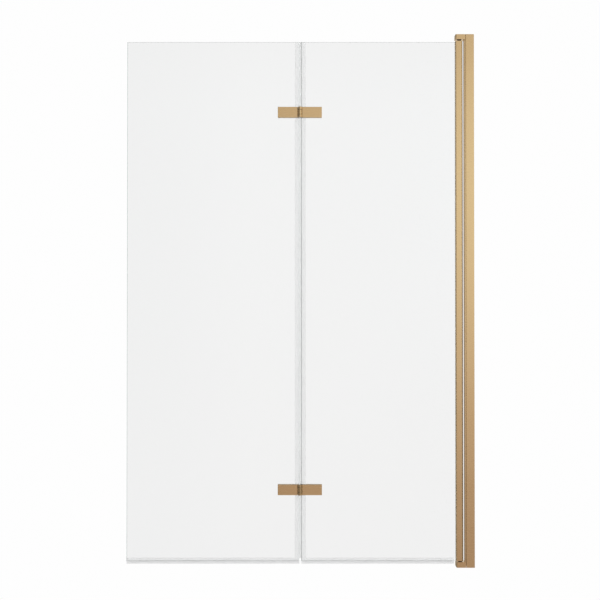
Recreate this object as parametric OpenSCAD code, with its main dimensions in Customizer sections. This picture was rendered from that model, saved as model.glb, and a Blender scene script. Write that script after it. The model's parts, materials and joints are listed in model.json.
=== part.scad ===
// Two-panel folding bath screen, drawn as it is fitted: the wall plane is x = 0, the screen reaches
// to -X, the glass stands in the plane y = 0 and z = 0 is the rim of the bath.
// The front, towards which the outer panel folds, is -Y.

/* [Screen] */
// Height of the wall channel
profile_h = 1400; // [1100:10:1600]
// Width of the inner glass, from the glazing slot to the seam
inner_glass_w = 411; // [340:1:480]
// Thickness of both glass panels
glass_t = 6; // [5:0.5:8]
// Bevel ground along the glass edges
glass_arris = 0.5; // [0.2:0.1:0.8]
// Distance between the two glass edges at the seam
seam_gap = 5.2; // [4.6:0.1:6]
// Space left to the wall by the outer panel when it is folded back
fold_clearance = 3.2; // [1.5:0.1:12]
// Distance of the glass top below the top of the glass profile
glass_drop = 2.2; // [1:0.1:6]

/* [Wall channel] */
// Depth of the wall channel, out from the wall
channel_depth = 22; // [20:0.5:30]
// Thickness of the screen's frame, front to back
channel_w = 25; // [24:0.5:28]
// Side walls of the wall channel
channel_wall = 1.5; // [1.2:0.1:2]
// Back of the wall channel, against the wall
channel_back = 1.6; // [1.2:0.1:2.5]
// Rounding of the channel's front lips
channel_lip_r = 0.9; // [0.4:0.1:1.1]
// Diameter of the wall screw holes
wall_hole_d = 5.5; // [4:0.5:7]
// Distance of the end wall holes from the ends of the channel
wall_hole_end = 100; // [60:5:160]
// Distance between the two middle wall holes
wall_hole_middle = 400; // [200:10:600]
// Thickness of the cap on the channel
cap_t = 1.5; // [1:0.1:2.5]
// Length of the cap's two snap tabs
cap_tab_h = 10; // [6:0.5:14]

/* [Adjusting profile] */
// How far the adjusting profile is pulled out of the wall channel
pull_out = 3.6; // [2:0.1:10]
// Depth of the adjusting profile
adjust_depth = 20; // [18:0.5:20]
// Wall of the adjusting profile
adjust_wall = 1.4; // [1.2:0.1:2]
// Free space on each side between the adjusting profile and the channel
slide_clearance = 0.3; // [0.1:0.05:0.5]
// Rounding of the adjusting profile's outer edges
adjust_r = 1; // [0.5:0.1:1.2]
// Distance of the screw ports behind the adjusting profile's face
port_setback = 10; // [9:0.5:11]
// Distance between the two screw ports
port_spacing = 10; // [9:0.5:11]
// Hole of a screw port
port_d = 3.6; // [3:0.1:4]
// Wall of a screw port
port_wall = 1.2; // [1:0.1:1.4]

/* [Fixing screws] */
// Thread diameter of the screws that lock the adjusting profile and hold the blocks
fixing_d = 3.5; // [3:0.1:4]
// Length of a fixing screw below its head
fixing_length = 6; // [5:0.5:6.5]
// Diameter of the fixing screws' pan heads
fixing_head_d = 7.4; // [6.5:0.1:8]
// Height of the fixing screws' pan heads
fixing_head_h = 2.2; // [1.8:0.1:2.6]
// Distance of the end fixing screws from the ends of the channel
fixing_end = 150; // [120:5:250]
// Distance of the fixing screws from the wall
fixing_out = 10; // [9.5:0.1:10.3]
// Wall of the snap caps over the fixing screws
screw_cap_wall = 1; // [0.8:0.1:1.4]

/* [Pivot blocks] */
// Height of the top block
top_block_h = 13.2; // [12:0.1:18]
// Height of the bottom block
bottom_block_h = 14.7; // [12:0.1:18]
// Reach of the blocks past the pivot axis
block_nose = 11.8; // [11:0.1:14]
// Rounding of the blocks' upright edges
block_r = 3; // [2:0.1:4]
// Rounding of the top block's upper corner
top_block_corner_r = 2; // [1:0.1:4]
// Rounding of the bottom block's lower corner
bottom_block_corner_r = 3.5; // [1:0.1:5]
// Joint line between the blocks and the wall channel
block_joint = 0.6; // [0.4:0.1:1]
// Height of the tongue that lies on the end of the adjusting profile
tongue_h = 9; // [7:0.5:10]
// Length of the tongue inside the wall channel
tongue_length = 13.5; // [13:0.1:14]
// Length of the screws that hold the blocks
block_screw_length = 22; // [16:1:30]
// Head diameter of the screws that hold the blocks
block_screw_head_d = 6.8; // [6:0.1:7.5]

/* [Pivot] */
// Diameter of the pivot pins
pivot_pin_d = 5; // [4:0.1:5.4]
// Depth of the pivot pins in the blocks
pivot_pin_seat = 9; // [7:0.5:10]
// Length of the bushes inside the glass profile
bush_length = 20; // [14:1:30]
// Wall of the bushes
bush_wall = 0.65; // [0.5:0.05:0.8]
// Radius of the bush flanges that carry the panels
bush_flange_r = 5; // [4.6:0.1:5.2]
// Distance of the glass profile above the bottom block
panel_rise = 2.3; // [1.5:0.1:4]
// Distance of the glass profile below the top block
panel_headroom = 3.6; // [2:0.1:5]

/* [Glass profile] */
// Distance of the pivot axis in front of the adjusting profile
pivot_setback = 11.5; // [11.2:0.1:13]
// Reach of the glass profile past the pivot, on the glass side
profile_glass_side = 11.1; // [10.8:0.1:13]
// Reach of the glass profile past the pivot, on the wall side
profile_wall_side = 7.8; // [6:0.1:8.6]
// Thickness of the glass profile, front to back
profile_t = 19; // [18:0.5:19.5]
// Wall of the glass profile
profile_wall = 1.4; // [1.2:0.1:1.6]
// Rounding of the glass profile's edges on the glass side
profile_glass_r = 2; // [1:0.1:3]
// Rounding of the glass profile's edges on the wall side
profile_wall_r = 4.5; // [4.2:0.1:6]
// Wall of the round port that takes the bushes
pivot_port_wall = 1.1; // [1:0.05:1.2]
// Thickness of the glazing strip round the glass edge
glazing_t = 1; // [0.8:0.1:1.2]
// Length of the glazing lips that show outside the profile
glazing_lip = 0.6; // [0.3:0.1:1]

/* [Seals] */
// Thickness of the clear seals
seal_t = 1; // [0.8:0.1:1.2]
// Height of the bottom seal's grip on the glass
seal_grip = 6.6; // [6:0.1:12]
// Depth of the bottom seal below the glass
seal_drop = 8.6; // [6:0.1:10]
// Reach of the deflector blade in front of the glass plane
deflector_reach = 5.4; // [4.6:0.1:5.5]
// Width of the seam seals' grip on the glass
seam_grip = 11.8; // [8:0.1:16]
// Distance between the seam seals' lips when the screen is flat
lip_gap = 0.3; // [0.2:0.05:0.5]
// Wall of the hollow bulb along the outer seam seal
bulb_wall = 0.5; // [0.4:0.05:0.6]
// Free space between the seam seals and the pieces above and below them
seal_end_gap = 0.5; // [0.3:0.1:1]

/* [Hinges] */
// Distance of each hinge's middle from the end of the glass
hinge_from_end = 185.7; // [120:0.1:260]
// Width of one leaf of a hinge
leaf_w = 52; // [46:1:60]
// Height of a hinge
hinge_h = 27.5; // [26:0.5:36]
// Thickness of the front plates
front_plate_t = 5; // [4.6:0.1:6]
// Thickness of the back plates
back_plate_t = 4; // [3.6:0.1:5]
// Bevel round the plates' outer faces
plate_bevel = 0.6; // [0.3:0.1:1]
// Thickness of the gaskets between the plates and the glass
plate_gasket_t = 1; // [0.8:0.1:1.4]
// Distance of the gaskets inside the plates' edges
plate_gasket_inset = 1; // [0.5:0.1:2]
// Diameter of the hinge barrel
barrel_d = 10.4; // [10:0.1:10.8]
// Distance of the barrel's axis in front of the plates
barrel_stand = 0.5; // [0.3:0.1:1]
// Distance of the barrel's axis from the middle of the seam
barrel_offset = 1.1; // [0.8:0.1:1.4]
// Gap between the barrel and the neighbouring plate edges
barrel_gap = 0.75; // [0.5:0.05:1]
// Thickness of the arms that join the knuckles to their plates
knuckle_arm_t = 3.6; // [3:0.1:4.4]
// Height of the middle knuckle
middle_knuckle_h = 11.5; // [9:0.1:14]
// Thickness of the washers between the knuckles
washer_t = 0.8; // [0.6:0.1:1.2]
// Diameter of the hinge pins
hinge_pin_d = 5; // [4:0.1:6]
// Distance between the back plates at the seam
back_plate_gap = 1; // [0.6:0.1:1.6]

/* [Glass clamp screws] */
// Distance of the first clamp screw from the plate edge at the barrel
clamp_first = 14; // [12:0.5:16]
// Distance between the two clamp screws of a leaf
clamp_spacing = 24; // [20:0.5:28]
// Thread diameter of the clamp screws
clamp_d = 5; // [4:0.5:6]
// Head diameter of the clamp screws
clamp_head_d = 9.4; // [8:0.1:10]
// Diameter of the holes in the glass
glass_hole_d = 10; // [8.5:0.1:12]
// Metal left in front of the blind holes of the front plates
blind_rest = 1; // [0.8:0.1:1.6]

/* [Clearances] */
// Free space round a piece that seats in another
seat_play = 0.02; // [0.01:0.01:0.05]
// Radial running clearance of the pins
running_play = 0.05; // [0.02:0.01:0.1]
// Free space between faces that slide on each other
face_play = 0.05; // [0.03:0.01:0.1]
// Free space left by the inner panel as it swings past the bottom block
sweep_clearance = 0.8; // [0.5:0.1:2]

/* [Hidden] */
$fn = 64;
// How far a cutter runs past the face that it opens
over = 1;

brass = [0.78, 0.65, 0.47];
bright_steel = [0.78, 0.78, 0.76];
clear_glass = [0.86, 0.93, 0.91, 0.35];
clear_vinyl = [0.88, 0.9, 0.9, 0.6];
brown_nylon = [0.42, 0.36, 0.3];
grey_rubber = [0.45, 0.45, 0.44];

// Wall channel and adjusting profile
half_w = channel_w / 2;
channel_half = half_w - channel_wall;
channel_h = profile_h - cap_t;
adjust_x = -channel_depth - pull_out;
adjust_back_x = adjust_x + adjust_depth;
adjust_half = channel_half - slide_clearance;
port_x = adjust_x + port_setback;
port_r = port_d / 2 + port_wall;
wall_hole_zs = [
    wall_hole_end,
    (profile_h - wall_hole_middle) / 2,
    (profile_h + wall_hole_middle) / 2,
    profile_h - wall_hole_end
];
fixing_zs = [fixing_end, profile_h / 2, profile_h - fixing_end];

// Pivot, glass profile and the panels' heights
pivot_x = adjust_x - pivot_setback;
block_x = pivot_x - block_nose;
block_back_x = -channel_depth - block_joint;
tongue_half = adjust_half;
profile_z0 = bottom_block_h + panel_rise;
profile_z1 = profile_h - top_block_h - panel_headroom;
profile_x0 = pivot_x - profile_glass_side;
profile_x1 = pivot_x + profile_wall_side;
bush_r = pivot_pin_d / 2 + running_play + bush_wall;
pivot_port_r = bush_r + seat_play + pivot_port_wall;
partition_x = pivot_x - pivot_port_r - profile_wall / 2;
slot_half = glass_t / 2 + glazing_t;

// Glass
glass_z0 = profile_z0;
glass_z1 = profile_z1 - glass_drop;
inner_edge_x = partition_x - glazing_t - inner_glass_w;
outer_edge_x = inner_edge_x - seam_gap;
axis_x = (inner_edge_x + outer_edge_x) / 2 - barrel_offset;
free_edge_x = 2 * axis_x + fold_clearance;

// Seals
seal_half = glass_t / 2 + seal_t;
block_sweep_r = norm([block_nose - block_r, half_w - block_r]) + block_r;
seal_stop_x = pivot_x - block_sweep_r - sweep_clearance;
seam_z0 = glass_z0 + seal_grip + seal_end_gap;
bulb_r = (seam_gap - 2 * seal_t - lip_gap) / 2;

// Hinges
lower_hinge_z = glass_z0 + hinge_from_end;
upper_hinge_z = glass_z1 - hinge_from_end;
plate_y = glass_t / 2 + plate_gasket_t;
axis_y = -plate_y - front_plate_t - barrel_stand;
leaf_start = barrel_d / 2 + barrel_gap;
knuckle_space = washer_t + 2 * face_play;
end_knuckle_h = (hinge_h - middle_knuckle_h) / 2 - knuckle_space;
hinge_clear = hinge_h / 2 + seal_end_gap;
seam_seal_spans = [
    [seam_z0, lower_hinge_z - hinge_clear],
    [lower_hinge_z + hinge_clear, upper_hinge_z - hinge_clear],
    [upper_hinge_z + hinge_clear, glass_z1]
];
clamp_offsets = [leaf_start + clamp_first, leaf_start + clamp_first + clamp_spacing];
clamp_head_h = (clamp_head_d - clamp_d) / 2;
hinge_zs = [lower_hinge_z, upper_hinge_z];
// Sides of a hinge: the inner leaf lies towards the wall, the outer leaf away from it
inner_side = 1;
outer_side = -1;

// Outline points of a rectangle with its low-y and its high-y corners cut off
function eased_outline(x0, x1, y0, y1, low, high) = concat(
    low > 0 ? [[x0, y0 + low], [x0 + low, y0], [x1 - low, y0], [x1, y0 + low]]
            : [[x0, y0], [x1, y0]],
    high > 0 ? [[x1, y1 - high], [x1 - high, y1], [x0 + high, y1], [x0, y1 - high]]
             : [[x1, y1], [x0, y1]]
);

// Upright extrusion of a plan outline between two heights
module upright(z0, z1) {
    translate([0, 0, z0]) linear_extrude(z1 - z0) children();
}

// Level extrusion, along X, of an outline drawn in the YZ plane
module level(x0, x1) {
    translate([x0, 0, 0]) rotate([90, 0, 90]) linear_extrude(x1 - x0) children();
}

// Turns a shape drawn up the Z axis so that it points to the back, +Y
module to_back() {
    rotate([-90, 0, 0]) children();
}

// Plate between three pairs of faces, its front (low y) and back (high y) edges bevelled all round
module eased_plate(x, y, z, low, high) {
    intersection() {
        upright(z[0], z[1]) polygon(eased_outline(x[0], x[1], y[0], y[1], low, high));
        level(x[0], x[1])
            polygon([for (p = eased_outline(z[0], z[1], y[0], y[1], low, high)) [p[1], p[0]]]);
    }
}

// What is cut away to round the corner at the origin of a shape that fills the first quadrant
module corner_waste(r) {
    difference() {
        translate([-over, -over]) square(r + over);
        translate([r, r]) circle(r);
    }
}

// Rectangle about y = 0 whose corners are rounded, by r0 at x0 and by r1 at x1
module rounded_band(x0, x1, half, r0, r1) {
    difference() {
        translate([x0, -half]) square([x1 - x0, 2 * half]);
        for (side = [0, 1]) mirror([0, side]) {
            translate([x0, -half]) corner_waste(r0);
            if (r1 > 0) translate([x1, -half]) mirror([1, 0]) corner_waste(r1);
        }
    }
}

// ---- Pieces on the wall

// Extruded U that is screwed to the wall
module wall_channel() {
    color(brass) difference() {
        upright(0, channel_h) difference() {
            rounded_band(-channel_depth, 0, half_w, channel_lip_r, 0);
            translate([-channel_depth - over, -channel_half])
                square([channel_depth + over - channel_back, 2 * channel_half]);
        }
        for (z = wall_hole_zs) translate([-channel_back - over, 0, z]) rotate([0, 90, 0])
            cylinder(h = channel_back + 2 * over, d = wall_hole_d);
        for (z = fixing_zs) translate([-fixing_out, channel_half - over, z]) to_back()
            cylinder(h = channel_wall + 2 * over, d = fixing_d + 2 * running_play);
    }
}

// Cap that closes the top of the channel, held by two tabs beside its back
module channel_top_cap() {
    tab_x0 = adjust_back_x + slide_clearance;
    tab_x1 = -channel_back - seat_play;
    tab_y = channel_half - seat_play;
    color(brass) {
        upright(channel_h, profile_h) rounded_band(-channel_depth, 0, half_w, channel_lip_r, 0);
        for (side = [0, 1]) mirror([0, side, 0]) upright(channel_h - cap_tab_h, channel_h)
            translate([tab_x0, tab_y - cap_t]) square([tab_x1 - tab_x0, cap_t]);
    }
}

// Extruded profile that slides in the channel to take up a wall out of true, with a cross web
// that carries two screw ports
module adjusting_profile() {
    inside = adjust_half - adjust_wall;
    color(brass) difference() {
        upright(bottom_block_h, profile_h - top_block_h) {
            difference() {
                rounded_band(adjust_x, adjust_back_x, adjust_half, adjust_r, 0);
                translate([adjust_x + adjust_wall, -inside])
                    square([adjust_depth, 2 * inside]);
            }
            difference() {
                union() {
                    translate([port_x - port_wall / 2, -inside])
                        square([port_wall, 2 * inside]);
                    for (side = [-1, 1]) translate([port_x, side * port_spacing / 2])
                        circle(port_r);
                }
                for (side = [-1, 1]) translate([port_x, side * port_spacing / 2])
                    circle(d = port_d);
            }
        }
        for (z = fixing_zs) translate([-fixing_out, inside - over, z]) to_back()
            cylinder(h = adjust_wall + 2 * over, d = fixing_d + 2 * seat_play);
    }
}

// Pan-head screws, in from the back, that lock the adjusting profile in the channel
module profile_fixing_screws() {
    color(bright_steel) for (z = fixing_zs) translate([-fixing_out, half_w, z]) to_back() {
        difference() {
            cylinder(h = fixing_head_h, d = fixing_head_d);
            translate([0, 0, fixing_head_h / 2])
                cylinder(h = fixing_head_h, d = fixing_head_d / 3, $fn = 6);
        }
        translate([0, 0, -fixing_length]) cylinder(h = fixing_length, d = fixing_d);
    }
}

// Snap caps that hide the heads of the fixing screws
module fixing_screw_caps() {
    hollow_r = fixing_head_d / 2 + slide_clearance;
    hollow_h = fixing_head_h + slide_clearance;
    cap_r = hollow_r + screw_cap_wall;
    cap_h = hollow_h + screw_cap_wall;
    color(brass) for (z = fixing_zs) translate([-fixing_out, half_w, z]) to_back()
        rotate_extrude() difference() {
            square([cap_r, cap_h]);
            translate([-over, -over]) square([hollow_r + over, hollow_h + over]);
            translate([cap_r, cap_h]) mirror([1, 0]) mirror([0, 1]) corner_waste(screw_cap_wall);
        }
}

// Block that carries a pivot pin over the glass profile, drawn as the bottom one: its outer face
// is at z = 0, and its tongue lies under the end of the adjusting profile
module pivot_block(block_h, corner_r) {
    color(brass) difference() {
        union() {
            intersection() {
                upright(0, block_h) rounded_band(block_x, block_back_x, half_w, block_r, 0);
                translate([0, half_w, 0]) rotate([90, 0, 0]) linear_extrude(channel_w)
                    difference() {
                        translate([block_x, 0]) square([block_back_x - block_x, block_h]);
                        translate([block_x, 0]) corner_waste(corner_r);
                    }
            }
            upright(block_h - tongue_h, block_h) translate([block_back_x - over, -tongue_half])
                square([tongue_length + over, 2 * tongue_half]);
        }
        translate([pivot_x, 0, block_h - pivot_pin_seat])
            cylinder(h = pivot_pin_seat + over, d = pivot_pin_d + 2 * seat_play);
        for (side = [-1, 1])
            translate([port_x, side * port_spacing / 2, block_h - tongue_h]) block_screw_hole();
    }
}

// Countersunk hole through the tongue, its mouth at z = 0
module block_screw_hole() {
    sink_h = (block_screw_head_d - fixing_d) / 2;
    translate([0, 0, -over]) cylinder(h = tongue_h + 2 * over, d = fixing_d + 2 * running_play);
    cylinder(
        h = sink_h,
        r1 = block_screw_head_d / 2 + running_play,
        r2 = fixing_d / 2 + running_play
    );
}

module bottom_pivot_block() {
    pivot_block(bottom_block_h, bottom_block_corner_r);
}

module top_pivot_block() {
    translate([0, 0, profile_h]) mirror([0, 0, 1]) pivot_block(top_block_h, top_block_corner_r);
}

// Countersunk screw pointing up, its head's face at z = 0
module block_screw() {
    sink_h = (block_screw_head_d - fixing_d) / 2;
    difference() {
        union() {
            cylinder(h = sink_h, r1 = block_screw_head_d / 2, r2 = fixing_d / 2);
            cylinder(h = block_screw_length, d = fixing_d);
        }
        translate([0, 0, -over]) cylinder(h = sink_h / 2 + over, d = fixing_d * 0.7, $fn = 6);
    }
}

// Screws up through the tongues into the ports of the adjusting profile
module block_screws() {
    color(bright_steel) for (side = [-1, 1]) {
        translate([port_x, side * port_spacing / 2, bottom_block_h - tongue_h]) block_screw();
        translate([port_x, side * port_spacing / 2, profile_h - top_block_h + tongue_h])
            mirror([0, 0, 1]) block_screw();
    }
}

// Steel pin with both ends eased
module eased_pin(z0, z1, d) {
    ease = d / 10;
    translate([0, 0, z0]) cylinder(h = ease, r1 = d / 2 - ease, r2 = d / 2);
    translate([0, 0, z0 + ease]) cylinder(h = z1 - z0 - 2 * ease, d = d);
    translate([0, 0, z1 - ease]) cylinder(h = ease, r1 = d / 2, r2 = d / 2 - ease);
}

module bottom_pivot_pin() {
    color(bright_steel) translate([pivot_x, 0, 0])
        eased_pin(bottom_block_h - pivot_pin_seat, profile_z0 + bush_length, pivot_pin_d);
}

module top_pivot_pin() {
    color(bright_steel) translate([pivot_x, 0, 0])
        eased_pin(
            profile_z1 - bush_length,
            profile_h - top_block_h + pivot_pin_seat,
            pivot_pin_d
        );
}

// ---- Inner panel

// Plan section of the extrusion that holds the inner glass and turns on the pivot pins
module glass_profile_section() {
    half = profile_t / 2;
    slot_wall_half = slot_half + profile_wall;
    chamber_x0 = partition_x + profile_wall;
    chamber_x1 = profile_x1 - profile_wall;
    difference() {
        rounded_band(profile_x0, profile_x1, half, profile_glass_r, profile_wall_r);
        translate([profile_x0 - over, -slot_half])
            square([partition_x - profile_x0 + over, 2 * slot_half]);
        for (side = [0, 1]) mirror([0, side])
            translate([profile_x0 + profile_wall, slot_wall_half])
                square([partition_x - profile_x0 - profile_wall,
                        half - profile_wall - slot_wall_half]);
        difference() {
            rounded_band(chamber_x0, chamber_x1, half - profile_wall, profile_wall,
                         profile_wall_r - profile_wall);
            translate([pivot_x, 0]) circle(pivot_port_r);
            translate([pivot_x, -profile_wall / 2]) square([chamber_x1 - pivot_x, profile_wall]);
        }
        translate([pivot_x, 0]) circle(bush_r + seat_play);
    }
}

module glass_profile() {
    color(brass) upright(profile_z0, profile_z1) glass_profile_section();
}

// Flanged bush, drawn as the bottom one: the top of its flange, on which the profile sits, is at z = 0
module pivot_bush(flange_h) {
    color(brown_nylon) translate([pivot_x, 0, 0]) difference() {
        union() {
            translate([0, 0, -flange_h]) cylinder(h = flange_h, r = bush_flange_r);
            cylinder(h = bush_length, r = bush_r);
        }
        translate([0, 0, -flange_h - over])
            cylinder(h = flange_h + bush_length + 2 * over, d = pivot_pin_d + 2 * running_play);
    }
}

module bottom_pivot_bush() {
    translate([0, 0, profile_z0]) pivot_bush(panel_rise - face_play);
}

module top_pivot_bush() {
    translate([0, 0, profile_z1]) mirror([0, 0, 1]) pivot_bush(panel_headroom - face_play);
}

// Clear strip folded round the glass edge in the profile's slot
module glazing_strip() {
    color(clear_vinyl) upright(glass_z0, glass_z1) difference() {
        translate([profile_x0 - glazing_lip, -slot_half])
            square([partition_x - profile_x0 + glazing_lip, 2 * slot_half]);
        translate([profile_x0 - glazing_lip - over, -glass_t / 2])
            square([partition_x - glazing_t - profile_x0 + glazing_lip + over, glass_t]);
    }
}

// Glass panel with its edges arrised and two holes for each hinge
module glass_panel(x0, x1, side) {
    color(clear_glass) difference() {
        eased_plate([x0, x1], [-glass_t / 2, glass_t / 2], [glass_z0, glass_z1],
                    glass_arris, glass_arris);
        for (z = hinge_zs, offset_x = clamp_offsets)
            translate([axis_x + side * offset_x, -glass_t / 2 - over, z]) to_back()
                cylinder(h = glass_t + 2 * over, d = glass_hole_d);
    }
}

module inner_glass() {
    glass_panel(inner_edge_x, partition_x - glazing_t, inner_side);
}

// Section of the bottom seal: a clip on the glass, an upright wiper at the back and a deflector
// that leans out at the front
module bottom_seal_section() {
    web_z = glass_z0 - seal_t;
    grip_z = glass_z0 + seal_grip;
    wiper_z = glass_z0 - seal_drop;
    deflector_z = wiper_z + seal_t;
    polygon([
        [-seal_half, grip_z], [-glass_t / 2, grip_z],
        [-glass_t / 2, glass_z0], [glass_t / 2, glass_z0],
        [glass_t / 2, grip_z], [seal_half, grip_z],
        [seal_half, web_z], [seal_half - seal_t / 2, wiper_z],
        [glass_t / 2, wiper_z], [glass_t / 2, web_z],
        [-glass_t / 2, web_z], [-deflector_reach + seal_t / 2, deflector_z],
        [-deflector_reach, deflector_z], [-seal_half, web_z]
    ]);
}

module inner_bottom_seal() {
    color(clear_vinyl) level(inner_edge_x, seal_stop_x) bottom_seal_section();
}

// Plan section of a seam seal: a clip on the glass edge, drawn with that edge at x = 0 and the
// glass towards +X
module seam_clip() {
    difference() {
        translate([-seal_t, -seal_half]) square([seam_grip + seal_t, 2 * seal_half]);
        translate([0, -glass_t / 2]) square([seam_grip + over, glass_t]);
    }
}

module inner_seam_seal(span) {
    color(clear_vinyl) upright(span[0], span[1]) translate([inner_edge_x, 0]) seam_clip();
}

// The outer seam seal has a hollow bulb that closes the gap to the inner one
module outer_seam_seal(span) {
    color(clear_vinyl) upright(span[0], span[1]) translate([outer_edge_x, 0]) {
        mirror([1, 0]) seam_clip();
        difference() {
            union() {
                translate([seal_t + bulb_r, 0]) circle(bulb_r);
                translate([seal_t / 2, -bulb_r]) square([seal_t / 2 + bulb_r, 2 * bulb_r]);
            }
            translate([seal_t + bulb_r, 0]) circle(bulb_r - bulb_wall);
        }
    }
}

// ---- Outer panel

module outer_glass() {
    glass_panel(free_edge_x, outer_edge_x, outer_side);
}

module outer_bottom_seal() {
    color(clear_vinyl) level(free_edge_x, outer_edge_x) bottom_seal_section();
}

// ---- Hinges. Each is drawn about its own middle height, with side = 1 for the leaf towards the
// wall and side = -1 for the leaf on the outer panel

// Places a leaf's piece drawn towards +X from the barrel's axis at x = 0
module leaf_place(z, side) {
    translate([axis_x, 0, z]) mirror([side < 0 ? 1 : 0, 0, 0]) children();
}

// Barrel length with its pin hole, joined by an arm to the plate's edge
module knuckle(z0, z1, bore_play) {
    difference() {
        union() {
            translate([0, axis_y, z0]) cylinder(h = z1 - z0, d = barrel_d);
            translate([0, -plate_y - knuckle_arm_t, z0])
                cube([leaf_start + over, knuckle_arm_t - plate_gasket_t / 2, z1 - z0]);
        }
        translate([0, axis_y, z0 - over])
            cylinder(h = z1 - z0 + 2 * over, d = hinge_pin_d + 2 * bore_play);
    }
}

// Front plate with two blind threaded holes from behind
module leaf_plate() {
    difference() {
        eased_plate([leaf_start, leaf_start + leaf_w], [-plate_y - front_plate_t, -plate_y],
                    [-hinge_h / 2, hinge_h / 2], plate_bevel, 0);
        for (offset_x = clamp_offsets)
            translate([offset_x, -plate_y - front_plate_t + blind_rest, 0]) to_back()
                cylinder(h = front_plate_t, d = clamp_d + 2 * seat_play);
    }
}

// Leaf on the inner panel: two end knuckles
module hinge_inner_leaf(z) {
    color(brass) leaf_place(z, inner_side) {
        leaf_plate();
        knuckle(-hinge_h / 2, -hinge_h / 2 + end_knuckle_h, seat_play);
        knuckle(hinge_h / 2 - end_knuckle_h, hinge_h / 2, seat_play);
    }
}

// Leaf on the outer panel: one middle knuckle
module hinge_outer_leaf(z) {
    color(brass) leaf_place(z, outer_side) {
        leaf_plate();
        knuckle(-middle_knuckle_h / 2, middle_knuckle_h / 2, running_play);
    }
}

// Back plate with two countersunk holes
module hinge_back_plate(z, side) {
    x1 = leaf_start + leaf_w;
    color(brass) leaf_place(z, side) difference() {
        eased_plate([back_plate_gap / 2, x1], [plate_y, plate_y + back_plate_t],
                    [-hinge_h / 2, hinge_h / 2], 0, plate_bevel);
        for (offset_x = clamp_offsets) translate([offset_x, plate_y + back_plate_t, 0]) to_back() {
            translate([0, 0, -back_plate_t - over])
                cylinder(h = back_plate_t + 2 * over, d = clamp_d + 2 * running_play);
            translate([0, 0, -clamp_head_h])
                cylinder(
                    h = clamp_head_h,
                    r1 = clamp_d / 2 + running_play,
                    r2 = clamp_head_d / 2 + running_play
                );
        }
    }
}

// Soft gaskets in front of and behind the glass
module hinge_gaskets(z, side) {
    x0 = leaf_start + plate_gasket_inset;
    x1 = leaf_start + leaf_w - plate_gasket_inset;
    gasket_h = hinge_h - 2 * plate_gasket_inset;
    color(grey_rubber) leaf_place(z, side) for (front_y = [-plate_y, glass_t / 2])
        difference() {
            translate([x0, front_y, -gasket_h / 2]) cube([x1 - x0, plate_gasket_t, gasket_h]);
            for (offset_x = clamp_offsets) translate([offset_x, front_y - over, 0]) to_back()
                cylinder(h = plate_gasket_t + 2 * over, d = glass_hole_d);
        }
}

// Nylon sleeves that keep the clamp screws off the glass
module hinge_sleeves(z, side) {
    sleeve_length = 2 * (plate_y - face_play);
    color(brown_nylon) leaf_place(z, side) for (offset_x = clamp_offsets)
        translate([offset_x, -sleeve_length / 2, 0]) to_back() difference() {
            cylinder(h = sleeve_length, d = glass_hole_d - 2 * face_play);
            translate([0, 0, -over])
                cylinder(h = sleeve_length + 2 * over, d = clamp_d + 2 * running_play);
        }
}

// Countersunk clamp screws, in from the back, with a six-sided socket
module hinge_screws(z, side) {
    tip_y = -plate_y - front_plate_t + blind_rest + face_play;
    head_y = plate_y + back_plate_t;
    color(bright_steel) leaf_place(z, side) for (offset_x = clamp_offsets)
        translate([offset_x, tip_y, 0]) to_back() difference() {
            union() {
                cylinder(h = head_y - tip_y, d = clamp_d);
                translate([0, 0, head_y - tip_y - clamp_head_h])
                    cylinder(h = clamp_head_h, r1 = clamp_d / 2, r2 = clamp_head_d / 2);
            }
            translate([0, 0, head_y - tip_y - clamp_head_h * 0.8])
                cylinder(h = clamp_head_h, d = clamp_d * 0.7, $fn = 6);
        }
}

module hinge_pin(z) {
    color(bright_steel) translate([axis_x, axis_y, z])
        eased_pin(-hinge_h / 2, hinge_h / 2, hinge_pin_d);
}

// Nylon washers between the knuckles
module hinge_washers(z) {
    color(brown_nylon) for (z0 = [-middle_knuckle_h / 2 - face_play - washer_t,
                                  middle_knuckle_h / 2 + face_play])
        translate([axis_x, axis_y, z + z0]) difference() {
            cylinder(h = washer_t, d = barrel_d - 2 * running_play);
            translate([0, 0, -over])
                cylinder(h = washer_t + 2 * over, d = hinge_pin_d + 2 * running_play);
        }
}

wall_channel();
channel_top_cap();
adjusting_profile();
profile_fixing_screws();
fixing_screw_caps();
top_pivot_block();
bottom_pivot_block();
block_screws();
top_pivot_pin();
bottom_pivot_pin();
glass_profile();
top_pivot_bush();
bottom_pivot_bush();
glazing_strip();
inner_glass();
inner_bottom_seal();
inner_seam_seal(seam_seal_spans[0]);  // inner_seam_seal_lower
inner_seam_seal(seam_seal_spans[1]);  // inner_seam_seal_middle
inner_seam_seal(seam_seal_spans[2]);  // inner_seam_seal_upper
outer_glass();
outer_bottom_seal();
outer_seam_seal(seam_seal_spans[0]);  // outer_seam_seal_lower
outer_seam_seal(seam_seal_spans[1]);  // outer_seam_seal_middle
outer_seam_seal(seam_seal_spans[2]);  // outer_seam_seal_upper
hinge_inner_leaf(lower_hinge_z);  // lower_hinge_inner_leaf
hinge_back_plate(lower_hinge_z, inner_side);  // lower_hinge_inner_back_plate
hinge_gaskets(lower_hinge_z, inner_side);  // lower_hinge_inner_gaskets
hinge_sleeves(lower_hinge_z, inner_side);  // lower_hinge_inner_sleeves
hinge_screws(lower_hinge_z, inner_side);  // lower_hinge_inner_screws
hinge_pin(lower_hinge_z);  // lower_hinge_pin
hinge_washers(lower_hinge_z);  // lower_hinge_washers
hinge_outer_leaf(lower_hinge_z);  // lower_hinge_outer_leaf
hinge_back_plate(lower_hinge_z, outer_side);  // lower_hinge_outer_back_plate
hinge_gaskets(lower_hinge_z, outer_side);  // lower_hinge_outer_gaskets
hinge_sleeves(lower_hinge_z, outer_side);  // lower_hinge_outer_sleeves
hinge_screws(lower_hinge_z, outer_side);  // lower_hinge_outer_screws
hinge_inner_leaf(upper_hinge_z);  // upper_hinge_inner_leaf
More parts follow.
